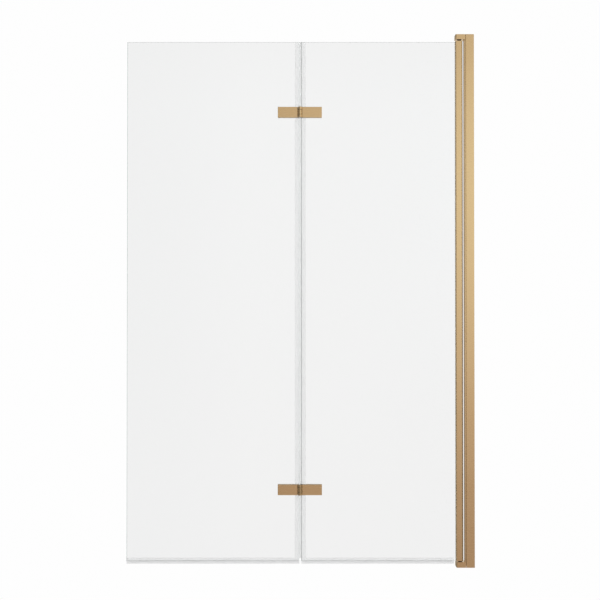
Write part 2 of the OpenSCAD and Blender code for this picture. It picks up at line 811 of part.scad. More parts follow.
hinge_back_plate(upper_hinge_z, inner_side);  // upper_hinge_inner_back_plate
hinge_gaskets(upper_hinge_z, inner_side);  // upper_hinge_inner_gaskets
hinge_sleeves(upper_hinge_z, inner_side);  // upper_hinge_inner_sleeves
hinge_screws(upper_hinge_z, inner_side);  // upper_hinge_inner_screws
hinge_pin(upper_hinge_z);  // upper_hinge_pin
hinge_washers(upper_hinge_z);  // upper_hinge_washers
hinge_outer_leaf(upper_hinge_z);  // upper_hinge_outer_leaf
hinge_back_plate(upper_hinge_z, outer_side);  // upper_hinge_outer_back_plate
hinge_gaskets(upper_hinge_z, outer_side);  // upper_hinge_outer_gaskets
hinge_sleeves(upper_hinge_z, outer_side);  // upper_hinge_outer_sleeves
hinge_screws(upper_hinge_z, outer_side);  // upper_hinge_outer_screws
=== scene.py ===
import json
import math

import bmesh
import bpy
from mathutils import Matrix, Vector


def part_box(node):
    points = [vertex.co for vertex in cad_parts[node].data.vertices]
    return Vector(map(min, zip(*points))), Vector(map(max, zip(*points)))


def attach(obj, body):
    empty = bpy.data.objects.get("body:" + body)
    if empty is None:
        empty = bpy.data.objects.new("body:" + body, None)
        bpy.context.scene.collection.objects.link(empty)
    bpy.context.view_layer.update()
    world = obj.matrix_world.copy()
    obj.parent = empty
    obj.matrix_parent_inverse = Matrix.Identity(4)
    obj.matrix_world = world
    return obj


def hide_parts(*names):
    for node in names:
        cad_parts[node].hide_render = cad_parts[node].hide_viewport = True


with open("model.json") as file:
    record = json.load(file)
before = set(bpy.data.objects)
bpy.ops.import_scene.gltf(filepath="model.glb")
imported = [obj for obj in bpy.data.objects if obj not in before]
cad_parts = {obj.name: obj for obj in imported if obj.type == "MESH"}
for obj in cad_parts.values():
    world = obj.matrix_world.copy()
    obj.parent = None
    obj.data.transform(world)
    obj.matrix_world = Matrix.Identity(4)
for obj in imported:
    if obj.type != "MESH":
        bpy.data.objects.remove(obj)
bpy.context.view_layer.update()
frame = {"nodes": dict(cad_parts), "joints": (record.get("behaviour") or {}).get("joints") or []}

# A folding bath screen with two glass panels. Metres, in the solids' own frame: the wall is the
# plane x = 0, the screen reaches to -X, its front is -Y and z = 0 is the rim of the bath.

# ---- The studio. A white room with the screen held at the height of a bath's rim, so the floor
# lies 0.55 m lower. The camera stands 3.3 m in front of the glass and looks up very slightly.
# Soft lamps light it, and reflector boards out of the picture shape what the metal mirrors.


class Wire:
    """One output of a node. Sums and products of wires and numbers add their Math nodes."""

    def __init__(self, graph, socket):
        self.graph, self.socket = graph, socket

    def math(self, operation, first, second=0.0):
        return self.graph.add("ShaderNodeMath", {"operation": operation}, {0: first, 1: second})

    def __add__(self, other):
        return self.math("ADD", self, other)

    def __radd__(self, other):
        return self.math("ADD", other, self)

    def __sub__(self, other):
        return self.math("SUBTRACT", self, other)

    def __rsub__(self, other):
        return self.math("SUBTRACT", other, self)

    def __mul__(self, other):
        return self.math("MULTIPLY", self, other)

    def __rmul__(self, other):
        return self.math("MULTIPLY", other, self)

    def __gt__(self, other):
        return self.math("GREATER_THAN", self, other)

    def __lt__(self, other):
        return self.math("LESS_THAN", self, other)

    def __abs__(self):
        return self.math("ABSOLUTE", self)

    def held(self):
        """The same value, kept between 0 and 1."""
        return self.graph.add("ShaderNodeClamp", inputs={"Value": self})


class Graph:
    """A node tree that grows one node at a time: settings first, then values or wires."""

    def __init__(self, tree):
        self.tree = tree
        tree.nodes.clear()

    def add(self, kind, settings=None, inputs=None, output=0):
        node = self.tree.nodes.new(kind)
        for name, value in (settings or {}).items():
            if name == "stops":
                while len(node.color_ramp.elements) < len(value):
                    node.color_ramp.elements.new(1.0)
                for element, (position, colour) in zip(node.color_ramp.elements, value):
                    element.position, element.color = position, colour
            else:
                setattr(node, name, value)
        for name, value in (inputs or {}).items():
            for one in value if isinstance(value, list) else [value]:
                if isinstance(one, Wire):
                    self.tree.links.new(one.socket, node.inputs[name])
                else:
                    node.inputs[name].default_value = one
        return Wire(self, node.outputs[output]) if node.outputs else None


def grey(level):
    return (level, level, level, 1.0)


def new_finish(name):
    """A material with an empty node tree, and the graph that fills it."""
    material = bpy.data.materials.new(name)
    material.use_nodes = True
    return material, Graph(material.node_tree)


def mesh_object(name, corners, faces, edges=()):
    mesh = bpy.data.meshes.new(name)
    mesh.from_pydata(corners, edges, faces)
    made = bpy.data.objects.new(name, mesh)
    scene.collection.objects.link(made)
    return made


def looked_at(graph):
    """1 for rays from the camera, off a mirror or through glass, and 0 for rays that light."""
    return (
        graph.add("ShaderNodeLightPath", output="Is Camera Ray")
        + graph.add("ShaderNodeLightPath", output="Is Glossy Ray")
        + graph.add("ShaderNodeLightPath", output="Is Transmission Ray")
    ).held()


def mix_shaders(graph, share, low, high):
    return graph.add("ShaderNodeMixShader", inputs={0: share, 1: low, 2: high})


scene = bpy.context.scene
scene.view_settings.view_transform = "Standard"

CAMERA_DISTANCE = 3.3
CAMERA_TILT = math.radians(0.75)
PICTURE_WIDTH = 1.5738
LOOKED_AT = Vector((-0.4574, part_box("wall_channel")[0].y, 0.7006))
camera_data = bpy.data.cameras.new("camera")
camera_data.lens = camera_data.sensor_width * CAMERA_DISTANCE / PICTURE_WIDTH
camera = bpy.data.objects.new("camera", camera_data)
line_of_sight = Vector((0, math.cos(CAMERA_TILT), math.sin(CAMERA_TILT)))
camera.location = LOOKED_AT - CAMERA_DISTANCE * line_of_sight
camera.rotation_euler = (math.radians(90) + CAMERA_TILT, 0, 0)
scene.collection.objects.link(camera)
scene.camera = camera

ROOM_LIGHT = 0.62
BACKGROUND_WHITE = grey(0.99)
world = bpy.data.worlds.new("white_room")
scene.world = world
world.use_nodes = True
world.cycles.sampling_method = "NONE"
room = Graph(world.node_tree)
room_light = room.add(
    "ShaderNodeBackground", inputs={"Color": (0.97, 0.985, 1.0, 1.0), "Strength": ROOM_LIGHT}
)
white_room = room.add("ShaderNodeBackground", inputs={"Color": BACKGROUND_WHITE})
room_mix = mix_shaders(room, looked_at(room), room_light, white_room)
room.add("ShaderNodeOutputWorld", inputs={"Surface": room_mix})


def own_place(graph):
    """The point's place in the piece's own frame, which moves with the piece."""
    return graph.add("ShaderNodeTexCoord", output="Object")


def distance(graph, first, second):
    return graph.add(
        "ShaderNodeVectorMath", {"operation": "DISTANCE"}, {0: first, 1: second}, output="Value"
    )


FLOOR_Z = -0.55
FLOOR_HALF = 9.0
UNDER_SCREEN = (-0.45, 0, FLOOR_Z)
FADE_START = 1.0
FADE_LENGTH = 0.85
FLOOR_GLOW = 0.14
floor = mesh_object(
    "floor",
    [(-FLOOR_HALF, -FLOOR_HALF, FLOOR_Z), (FLOOR_HALF, -FLOOR_HALF, FLOOR_Z),
     (FLOOR_HALF, FLOOR_HALF, FLOOR_Z), (-FLOOR_HALF, FLOOR_HALF, FLOOR_Z)],
    [(0, 1, 2, 3)],
)
floor_finish, paint = new_finish("pale_floor")
from_middle = distance(paint, own_place(paint), UNDER_SCREEN)
far = ((from_middle - FADE_START) * (1 / FADE_LENGTH)).held()
lift = paint.add("ShaderNodeLightPath", output="Is Camera Ray") * FLOOR_GLOW
glow = paint.add("ShaderNodeEmission", inputs={"Color": grey(1.0), "Strength": lift})
matt = paint.add("ShaderNodeBsdfDiffuse", inputs={"Color": grey(0.84)})
near_floor = paint.add("ShaderNodeAddShader", inputs={0: matt, 1: glow})
white_floor = paint.add("ShaderNodeEmission", inputs={"Color": BACKGROUND_WHITE})
pale = mix_shaders(paint, looked_at(paint) * far, near_floor, white_floor)
from_below = paint.add("ShaderNodeNewGeometry", output="Backfacing")
clear = paint.add("ShaderNodeBsdfTransparent")
floor_mix = mix_shaders(paint, from_below, pale, clear)
paint.add("ShaderNodeOutputMaterial", inputs={"Surface": floor_mix})
floor.data.materials.append(floor_finish)
floor.visible_glossy = False


def lamp(name, place, aim, width, height, power):
    """A soft lamp that lights the screen but is neither mirrored nor seen through it."""
    data = bpy.data.lights.new(name, "AREA")
    data.shape = "RECTANGLE"
    data.size, data.size_y, data.energy = width, height, power
    made = bpy.data.objects.new(name, data)
    made.location = place
    made.rotation_euler = (Vector(aim) - Vector(place)).to_track_quat("-Z", "Y").to_euler()
    made.visible_glossy = made.visible_transmission = False
    scene.collection.objects.link(made)


lamp("key_lamp", (1.6, -3.6, 2.6), aim=(-0.4, 0, 0.8), width=1.8, height=1.8, power=60)
lamp("fill_lamp", (-3.4, -2.4, 1.4), aim=(-0.4, 0, 0.7), width=2.2, height=2.2, power=26)
lamp("back_lamp", (-1.6, 3.6, 2.4), aim=(-0.4, 0, 0.7), width=2.2, height=2.2, power=40)

BOARD_FOOT, BOARD_HEAD = -5.5, 6.5
ROOM_SIDE, ROOM_END = 4.6, 4.4
# The Mix node's sockets for tones go by number, because those for numbers have the same names.
MIX_SHARE, MIX_LOW, MIX_HIGH, MIX_TONE = 0, 6, 7, 2


def mix(graph, share, low, high, blend="MIX"):
    """A tone between two: the low one where the share is 0, the high one where it is 1."""
    return graph.add(
        "ShaderNodeMix",
        {"data_type": "RGBA", "blend_type": blend},
        {MIX_SHARE: share, MIX_LOW: low, MIX_HIGH: high},
        output=MIX_TONE,
    )


def part(graph, axis, vector):
    return graph.add("ShaderNodeSeparateXYZ", inputs={0: vector}, output=axis)


def board(name, start, end, height_stops, length_stops, blob=None, foot=BOARD_FOOT, lean=0.0):
    """A board that only mirrors show, from one point of the plan to another, upright unless it
    leans back. Its glow is a tone that changes over its height, times one that changes over its
    length, each given as stops from 0 to 1, and may rise to a soft spot."""
    made = mesh_object(
        name,
        [(*start, foot), (*end, foot), (end[0], end[1] + lean, BOARD_HEAD),
         (start[0], start[1] + lean, BOARD_HEAD)],
        [(0, 1, 2, 3)],
    )
    finish, graph = new_finish(name)
    place = own_place(graph)
    up = (part(graph, "Z", place) - BOARD_FOOT) * (1 / (BOARD_HEAD - BOARD_FOOT))
    flat = graph.add("ShaderNodeVectorMath", {"operation": "MULTIPLY"}, {0: place, 1: (1, 1, 0)})
    along = distance(graph, flat, (*start, 0)) * (1 / (Vector(end) - Vector(start)).length)
    by_height = graph.add("ShaderNodeValToRGB", {"stops": height_stops}, {0: up})
    by_length = graph.add("ShaderNodeValToRGB", {"stops": length_stops}, {0: along})
    tone = mix(graph, 1.0, by_height, by_length, blend="MULTIPLY")
    if blob:
        middle, reach, colour = blob
        spot = (1.0 - distance(graph, place, middle) * (1 / reach)).held()
        tone = mix(graph, spot * spot, tone, colour, blend="ADD")
    glow = graph.add("ShaderNodeEmission", inputs={"Color": tone})
    graph.add("ShaderNodeOutputMaterial", inputs={"Surface": glow})
    finish.cycles.emission_sampling = "NONE"
    made.data.materials.append(finish)
    made.visible_camera = made.visible_diffuse = made.visible_transmission = False
    made.visible_shadow = False


LEFT_CORNER, RIGHT_CORNER = (-1.75, -ROOM_END), (2.6, -ROOM_END)
board(
    "front_board", LEFT_CORNER, RIGHT_CORNER,
    [
        (0.0, (0.34, 0.28, 0.27, 1.0)),
        (0.36, (0.45, 0.37, 0.37, 1.0)),
        (0.395, (0.53, 0.44, 0.435, 1.0)),
        (0.46, (0.68, 0.59, 0.58, 1.0)),
        (0.52, (0.79, 0.735, 0.72, 1.0)),
        (0.62, (0.88, 0.86, 0.85, 1.0)),
        (0.655, (0.65, 0.58, 0.56, 1.0)),
        (1.0, (0.47, 0.41, 0.39, 1.0)),
    ],
    [(0.0, grey(0.3)), (0.12, grey(0.65)), (0.22, grey(1.08)), (0.34, grey(1.08)),
     (0.46, grey(1.0)), (1.0, grey(1.0))],
    blob=((1.4, -ROOM_END, 1.45), 2.0, (0.75, 1.0, 1.06, 1.0)),
)
board(
    "left_board", LEFT_CORNER, (-ROOM_SIDE, ROOM_END),
    [(0.0, grey(1.0)), (1.0, grey(1.0))],
    [(0.0, grey(0.05)), (0.25, grey(0.10)), (0.5, grey(0.4)), (1.0, grey(0.8))],
)
board(
    "right_board", RIGHT_CORNER, (ROOM_SIDE, ROOM_END),
    [(0.0, grey(0.3)), (0.44, grey(0.4)), (0.52, grey(0.8)), (0.6, grey(1.0)), (1.0, grey(1.0))],
    [(0.0, grey(0.6)), (0.08, grey(0.4)), (0.16, grey(0.5)), (0.26, grey(1.1)), (0.6, grey(1.1)),
     (1.0, grey(0.7))],
)
board(
    "back_board", (-ROOM_SIDE, ROOM_END), (ROOM_SIDE, ROOM_END),
    [(0.0, grey(0.55)), (0.46, grey(0.85)), (0.6, grey(1.1)), (0.68, grey(0.85)),
     (1.0, grey(0.7))],
    [(0.0, grey(0.95)), (0.26, grey(0.8)), (0.34, grey(0.5)), (0.49, grey(0.5)),
     (0.56, grey(1.0)), (1.0, grey(1.1))],
)
board(
    "ceiling_board", (-ROOM_SIDE, -ROOM_END), (ROOM_SIDE, -ROOM_END),
    [(0.0, grey(0.3)), (1.0, grey(0.3))],
    [(0.0, grey(1.0)), (1.0, grey(1.0))],
    foot=BOARD_HEAD, lean=2 * ROOM_END,
)

# ---- The wall channel. An extruded aluminium U in a brushed brass finish, screwed to the wall
# through four holes in its back. The grain runs across the profile, from a brushing belt, and
# the saw-cut ends and the holes are lightly eased.

MM = 0.001


def noise(graph, place, scale, detail=2.0, roughness=0.5):
    return graph.add(
        "ShaderNodeTexNoise",
        inputs={"Vector": place, "Scale": scale, "Detail": detail, "Roughness": roughness},
    )


def stretched_noise(graph, place, along, across, detail):
    """Noise drawn out level, in X and Y, and packed close in Z."""
    stretched = graph.add(
        "ShaderNodeMapping", inputs={"Vector": place, "Scale": (along, along, across)}
    )
    return noise(graph, stretched, 1.0, detail, roughness=0.55)


def brushed_metal(name, light_tone, dark_tone, roughness):
    """Metal brushed with level lines: fine scratches over broader, fainter bands."""
    finish, graph = new_finish(name)
    place = own_place(graph)
    scratches = stretched_noise(graph, place, along=11.0, across=2600.0, detail=3.0)
    bands = stretched_noise(graph, place, along=5.0, across=420.0, detail=2.0)
    clouds = stretched_noise(graph, place, along=7.0, across=7.0, detail=2.0)
    grain = scratches * 0.55 + bands * 0.45
    tone = mix(graph, (grain * 0.8 + clouds * 0.6 - 0.2).held(), dark_tone, light_tone)
    bump = graph.add(
        "ShaderNodeBump", inputs={"Strength": 0.25, "Distance": 0.03 * MM, "Height": grain}
    )
    metal = graph.add(
        "ShaderNodeBsdfPrincipled",
        inputs={
            "Base Color": tone,
            "Metallic": 1.0,
            "Roughness": (grain - 0.5) * 0.22 + (clouds - 0.5) * 0.08 + roughness,
            "Normal": bump,
        },
    )
    graph.add("ShaderNodeOutputMaterial", inputs={"Surface": metal})
    return finish


brushed_brass = brushed_metal(
    "brushed_brass", light_tone=(0.80, 0.59, 0.325, 1.0), dark_tone=(0.64, 0.45, 0.225, 1.0),
    roughness=0.28,
)


def baked(source):
    """What the source's modifiers make of it, as a plain mesh."""
    graph = bpy.context.evaluated_depsgraph_get()
    return bpy.data.meshes.new_from_object(source.evaluated_get(graph))


SMOOTH_BELOW = math.radians(32)
FLAT_FACE_WEIGHT = 90


def finished(name, source, body, slot, *nodes):
    """Bakes the source, shades its roundings smooth and its faces flat, and lets it ride on a
    body in place of CAD nodes."""
    mesh = baked(source)
    bpy.data.objects.remove(source)
    mesh.polygons.foreach_set("use_smooth", [True] * len(mesh.polygons))
    mesh.set_sharp_from_angle(angle=SMOOTH_BELOW)
    piece = bpy.data.objects.new(name, mesh)
    scene.collection.objects.link(piece)
    flat_faces = piece.modifiers.new("flat_faces", "WEIGHTED_NORMAL")
    flat_faces.keep_sharp, flat_faces.weight = True, FLAT_FACE_WEIGHT
    piece.data = baked(piece)
    piece.data.name = name
    piece.modifiers.clear()
    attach(piece, body)
    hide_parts(*nodes)


SAME_POINT = 0.002 * MM
SAME_PLANE = math.radians(0.8)
EASED_ABOVE = math.radians(35)


def eased_copy(name, node, body, slot, finish, ease):
    """The node's own shape, merged into whole faces, with its hard edges rounded."""
    shape = bmesh.new()
    shape.from_mesh(frame["nodes"][node].data)
    bmesh.ops.remove_doubles(shape, verts=shape.verts, dist=SAME_POINT)
    bmesh.ops.dissolve_limit(
        shape, angle_limit=SAME_PLANE, verts=shape.verts, edges=shape.edges
    )
    source = mesh_object(name + "_source", [], [])
    shape.to_mesh(source.data)
    shape.free()
    source.data.materials.clear()
    source.data.materials.append(finish)
    source.data.polygons.foreach_set("material_index", [0] * len(source.data.polygons))
    bevel = source.modifiers.new("ease", "BEVEL")
    bevel.width, bevel.segments = ease, 3
    bevel.limit_method, bevel.angle_limit = "ANGLE", EASED_ABOVE
    finished(name, source, body, slot, node)


eased_copy("channel_extrusion", "wall_channel", "wall_profile", "brass_finish", brushed_brass,
           ease=0.25 * MM)

# ---- The channel's top cap. A small moulded cap in the same finish, pressed onto the channel's
# upper end, where two snap tabs hold it beside the channel's back.

eased_copy("channel_cap", "channel_top_cap", "wall_profile", "brass_finish", brushed_brass,
           ease=0.25 * MM)

# ---- The adjusting profile. The extrusion that slides in the channel to take up a wall out of
# true. Its cross web carries two ports for the block screws, and three screws lock it.

eased_copy("sliding_extrusion", "adjusting_profile", "wall_profile", "brass_finish",
           brushed_brass, ease=0.3 * MM)

# ---- The fixing screws and their caps. Three pan-head steel screws go in from the back through
# channel and adjusting profile, and a brass-coloured snap cap hides each head.

HEAD_TO_BACK = (-math.pi / 2, 0, 0)
HEAD_UP = (0, 0, 0)
HEAD_DOWN = (math.pi, 0, 0)


def turned(name, rings, closed=False, sides=48):
    """A turned piece up the Z axis, closed by flat ends, or a closed ring. A ring is its radius
    and height in millimetres, and True where it is a hexagon."""
    corners, faces = [], []
    for radius, height, *hexagon in rings:
        for step in range(sides):
            angle = math.tau * step / sides
            reach = radius * MM
            if hexagon:
                reach *= math.cos(math.pi / 6) / math.cos(angle % (math.pi / 3) - math.pi / 6)
            corners.append((reach * math.cos(angle), reach * math.sin(angle), height * MM))
    for low in range(len(rings) - (0 if closed else 1)):
        high = (low + 1) % len(rings)
        for step in range(sides):
            after = (step + 1) % sides
            faces.append((low * sides + step, low * sides + after,
                          high * sides + after, high * sides + step))
    if not closed:
        faces.append(tuple(reversed(range(sides))))
        faces.append(tuple(range((len(rings) - 1) * sides, len(rings) * sides)))
    return mesh_object(name, corners, faces)


def new_recipe(name, inputs):
    """A Geometry Nodes tree with these named inputs, and the graph that fills it."""
    tree = bpy.data.node_groups.new(name, "GeometryNodeTree")
    tree.interface.new_socket(name="Geometry", in_out="INPUT", socket_type="NodeSocketGeometry")
    for label, kind in inputs.items():
        tree.interface.new_socket(name=label, in_out="INPUT", socket_type="NodeSocket" + kind)
    tree.interface.new_socket(name="Geometry", in_out="OUTPUT", socket_type="NodeSocketGeometry")
    return tree, Graph(tree)


def given(graph, label):
    return graph.add("NodeGroupInput", output=label)


def follow(recipe, source, values):
    """Puts the recipe on the source, each input set by its socket's identifier."""
    modifier = source.modifiers.new("recipe", "NODES")
    modifier.node_group = recipe
    for item in recipe.interface.items_tree:
        if item.in_out == "INPUT" and item.name in values:
            modifier[item.identifier] = values[item.name]


def coated_output(graph, shape):
    """Ends a recipe: the shape as one real mesh, in its finish."""
    solid = graph.add("GeometryNodeRealizeInstances", inputs={"Geometry": shape})
    coated = graph.add(
        "GeometryNodeSetMaterial", inputs={"Geometry": solid, "Material": given(graph, "Finish")}
    )
    graph.add("NodeGroupOutput", inputs={"Geometry": coated})


copies, graph = new_recipe(
    "copies_on_places",
    {"Shape": "Object", "Largest twist": "Float", "Seed": "Int", "Finish": "Material"},
)
shape_mesh = graph.add(
    "GeometryNodeObjectInfo", inputs={"Object": given(graph, "Shape")}, output="Geometry"
)
facing = graph.add(
    "GeometryNodeInputNamedAttribute", {"data_type": "FLOAT_VECTOR"}, {"Name": "facing"}
)
stood = graph.add(
    "GeometryNodeInstanceOnPoints",
    inputs={"Points": given(graph, "Geometry"), "Instance": shape_mesh, "Rotation": facing},
)
twist = graph.add(
    "FunctionNodeRandomValue",
    {"data_type": "FLOAT"},
    {"Min": 0.0, "Max": given(graph, "Largest twist"), "Seed": given(graph, "Seed")},
    output="Value",
)
twisted = graph.add(
    "GeometryNodeRotateInstances",
    inputs={
        "Instances": stood, "Rotation": graph.add("ShaderNodeCombineXYZ", inputs={"Z": twist})
    },
)
coated_output(graph, twisted)


def copies_at(name, shape, places, body, slot, finish, nodes, seed=1):
    """One mesh with a copy of the shape at each place; a place is a point and a facing."""
    source = mesh_object(name + "_places", [point for point, turn in places], [])
    facings = source.data.attributes.new("facing", "FLOAT_VECTOR", "POINT")
    for value, (point, turn) in zip(facings.data, places):
        value.vector = turn
    follow(copies, source, {"Shape": shape, "Largest twist": math.tau, "Seed": seed,
                            "Finish": finish})
    finished(name, source, body, slot, *nodes)


def turned_steel():
    """Bright stainless steel off a lathe: smooth, with a faint uneven polish."""
    finish, graph = new_finish("turned_steel")
    polish = noise(graph, own_place(graph), scale=900.0, detail=3.0)
    tone = mix(graph, polish, (0.52, 0.52, 0.51, 1.0), (0.70, 0.69, 0.67, 1.0))
    metal = graph.add(
        "ShaderNodeBsdfPrincipled",
        inputs={"Base Color": tone, "Metallic": 1.0, "Roughness": polish * 0.2 + 0.14},
    )
    graph.add("ShaderNodeOutputMaterial", inputs={"Surface": metal})
    return finish


bright_steel = turned_steel()

FIXING_OUT = -10.0
FIXING_HEIGHTS = (150, 700, 1250)
channel_back_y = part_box("wall_channel")[1].y
fixing_places = [((FIXING_OUT * MM, channel_back_y, z * MM), HEAD_TO_BACK) for z in FIXING_HEIGHTS]
pan_screw = turned(
    "pan_screw",
    [(1.35, -6), (1.75, -5.6), (1.75, 0), (3.7, 0), (3.7, 0.7), (3.45, 1.45), (2.9, 1.95),
     (2.1, 2.2), (1.23, 2.2, True), (1.23, 1.1, True)],
)
copies_at("fixing_screw_set", pan_screw, fixing_places, "wall_profile", "bright_steel",
          bright_steel, ["profile_fixing_screws"])
snap_cap = turned(
    "snap_cap",
    [(3.7, 2.5), (4.0, 2.2), (4.0, 0), (4.9, 0), (5.0, 0.1), (5.0, 2.45), (4.9, 2.9),
     (4.6, 3.22), (4.1, 3.42), (3.0, 3.5)],
)
copies_at("snap_cap_set", snap_cap, fixing_places, "wall_profile", "brass_finish",
          brushed_brass, ["fixing_screw_caps"])

# ---- The pivot blocks. Two machined blocks in the brass finish close the frame at its head and
# foot. Each has a tongue in the channel, held by two countersunk screws in the screw ports, and
# a hardened steel pin pressed into it, on which the panels turn.

for end in ("top", "bottom"):
    eased_copy(f"{end}_block_body", f"{end}_pivot_block", "wall_profile", "brass_finish",
               brushed_brass, ease=0.4 * MM)


def countersunk(name, head_radius, shank_radius, length, socket_radius, socket_depth):
    """A countersunk screw with a hexagonal socket, its face at z = 0 and its point down."""
    return turned(
        name,
        [(shank_radius * 0.75, -length), (shank_radius, -length + shank_radius * 0.3),
         (shank_radius, shank_radius - head_radius), (head_radius - 0.12, -0.14),
         (head_radius, -0.08), (head_radius - 0.08, 0), (socket_radius * 1.12, 0),
         (socket_radius, -socket_radius * 0.08, True), (socket_radius, -socket_depth, True)],
    )


BLOCK_SCREW_HEAD = 3.4
port_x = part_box("block_screws")[0].x + BLOCK_SCREW_HEAD * MM
port_reach = 5 * MM
tongue_foot, tongue_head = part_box("block_screws")[0].z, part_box("block_screws")[1].z
block_screw = countersunk("block_screw", head_radius=BLOCK_SCREW_HEAD, shank_radius=1.75,
                          length=22, socket_radius=1.22, socket_depth=0.8)
copies_at(
    "block_screw_set", block_screw,
    [((port_x, y, tongue_foot), HEAD_DOWN) for y in (-port_reach, port_reach)]
    + [((port_x, y, tongue_head), HEAD_UP) for y in (-port_reach, port_reach)],
    "wall_profile", "bright_steel", bright_steel, ["block_screws"],
)


def steel_pin(name, node, body, *more):
    """An upright pin with eased ends that fills the node's box, and the same at other nodes."""
    low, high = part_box(node)
    length, radius = (high.z - low.z) / MM, (high.x - low.x) / 2 / MM
    shape = turned(
        name + "_shape",
        [(radius * 0.8, 0), (radius * 0.95, radius * 0.08), (radius, radius * 0.2),
         (radius, length - radius * 0.2), (radius * 0.95, length - radius * 0.08),
         (radius * 0.8, length)],
    )
    places = []
    for one in (node, *more):
        low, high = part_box(one)
        places.append((((low.x + high.x) / 2, (low.y + high.y) / 2, low.z), HEAD_UP))
    copies_at(name, shape, places, body, "bright_steel", bright_steel, [node, *more])
    bpy.data.objects.remove(shape)


steel_pin("bottom_pin", "bottom_pivot_pin", "wall_profile")
steel_pin("top_pin", "top_pivot_pin", "wall_profile")

# ---- The glass profile. The extrusion that holds the inner glass: a slot for its edge, a round
# port for the pivots, and hollows that keep its walls even. The section below is filled and
# drawn out between its foot and its head, as the die does it.

extrusion, graph = new_recipe(
    "drawn_section",
    {"Foot": "Float", "Head": "Float", "Turn": "Rotation", "Finish": "Material"},
)
rounding = graph.add(
    "GeometryNodeInputNamedAttribute", {"data_type": "FLOAT"}, {"Name": "rounding"}
)
outline = graph.add(
    "GeometryNodeFilletCurve",
    {"mode": "POLY"},
    {
        "Curve": graph.add("GeometryNodeMeshToCurve", inputs={"Mesh": given(graph, "Geometry")}),
        "Radius": rounding,
        "Count": 7,
    },
)
section = graph.add("GeometryNodeFillCurve", {"mode": "NGONS"}, {"Curve": outline})
length = given(graph, "Head") - given(graph, "Foot")
drawn = graph.add(
    "GeometryNodeExtrudeMesh",
    {"mode": "FACES"},
    {
        "Mesh": section,
        "Offset": graph.add("ShaderNodeCombineXYZ", inputs={"Z": length}),
        "Offset Scale": 1.0,
        "Individual": False,
    },
)
foot_face = graph.add("GeometryNodeFlipFaces", inputs={"Mesh": section})
shell = graph.add(
    "GeometryNodeMergeByDistance",
    inputs={
        "Geometry": graph.add("GeometryNodeJoinGeometry", inputs={"Geometry": [drawn, foot_face]}),
        "Distance": 0.001 * MM,
    },
)
raised = graph.add(
    "GeometryNodeTransform",
    inputs={
        "Geometry": shell,
        "Translation": graph.add("ShaderNodeCombineXYZ", inputs={"Z": given(graph, "Foot")}),
    },
)
stood = graph.add(
    "GeometryNodeTransform", inputs={"Geometry": raised, "Rotation": given(graph, "Turn")}
)
coated_output(graph, stood)

UPRIGHT = (0, 0, 0)
LEVEL = (math.pi / 2, 0, math.pi / 2)


def drawn_section(name, loops, foot, head, turn, body, slot, finish, nodes, shift=(0, 0)):
    """An extrusion. A loop is a list of points in millimetres, each (across, along) and, where
    the corner is rounded, its radius."""
    corners, edges, radii = [], [], []
    for loop in loops:
        first = len(corners)
        for across, along, *radius in loop:
            corners.append((across * MM + shift[0], along * MM + shift[1], 0))
            radii.append(radius[0] * MM if radius else 0.0)
        count = len(loop)
        edges += [(first + step, first + (step + 1) % count) for step in range(count)]
    source = mesh_object(name + "_outline", corners, [], edges)
    source.data.attributes.new("rounding", "FLOAT", "POINT").data.foreach_set("value", radii)
    follow(extrusion, source, {"Foot": foot, "Head": head, "Turn": turn, "Finish": finish})
    finished(name, source, body, slot, *nodes)


ARC_STEP = 6


def arc(radius, start, end, step=ARC_STEP):
    """Points on a circle about the origin, between two angles in degrees, ends included."""
    count = max(2, round(abs(end - start) / step))
    angles = [math.radians(start + (end - start) * n / count) for n in range(count + 1)]
    return [(radius * math.cos(angle), radius * math.sin(angle)) for angle in angles]


PORT_HOLE = 3.22
PORT_RING = 4.32
GLASS_SIDE, WALL_SIDE, HALF_THICK = -11.1, 7.8, 9.5
GLASS_SIDE_R, WALL_SIDE_R = 2.0, 4.5
PROFILE_WALL = 1.4
CHAMBER_R = 3.1
HOLLOW_R, HOLLOW_OUTER_R = 0.3, 0.9
SLOT_HALF = 4.0
SLOT_LIP_R, SLOT_FLOOR_R = 0.3, 0.2
SLOT_END = -PORT_RING - PROFILE_WALL / 2
chamber_low, chamber_high = SLOT_END + PROFILE_WALL, WALL_SIDE - PROFILE_WALL
chamber_half = HALF_THICK - PROFILE_WALL
rib_half = PROFILE_WALL / 2
ring_start = math.degrees(math.asin(rib_half / PORT_RING))
ring_end = math.degrees(math.acos(chamber_low / PORT_RING))
chamber = [(chamber_low, chamber_half, PROFILE_WALL), (chamber_high, chamber_half, CHAMBER_R),
           (chamber_high, rib_half)]
chamber += arc(PORT_RING, ring_start, ring_end)
hollow_low, hollow_high = GLASS_SIDE + PROFILE_WALL, SLOT_END
hollow_foot, hollow_head = SLOT_HALF + PROFILE_WALL, chamber_half
hollow = [(hollow_low, hollow_foot, HOLLOW_R), (hollow_high, hollow_foot, HOLLOW_R),
          (hollow_high, hollow_head, HOLLOW_R), (hollow_low, hollow_head, HOLLOW_OUTER_R)]
glass_profile_loops = [
    [(GLASS_SIDE, -HALF_THICK, GLASS_SIDE_R), (WALL_SIDE, -HALF_THICK, WALL_SIDE_R),
     (WALL_SIDE, HALF_THICK, WALL_SIDE_R), (GLASS_SIDE, HALF_THICK, GLASS_SIDE_R),
     (GLASS_SIDE, SLOT_HALF, SLOT_LIP_R), (SLOT_END, SLOT_HALF, SLOT_FLOOR_R),
     (SLOT_END, -SLOT_HALF, SLOT_FLOOR_R), (GLASS_SIDE, -SLOT_HALF, SLOT_LIP_R)],
    arc(PORT_HOLE, 0, 360 - ARC_STEP),
    chamber, [(x, -y, *radius) for x, y, *radius in chamber],
    hollow, [(x, -y, *radius) for x, y, *radius in hollow],
]
pivot = frame["joints"][0]["pos_m"]
profile_foot, profile_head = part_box("glass_profile")[0].z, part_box("glass_profile")[1].z
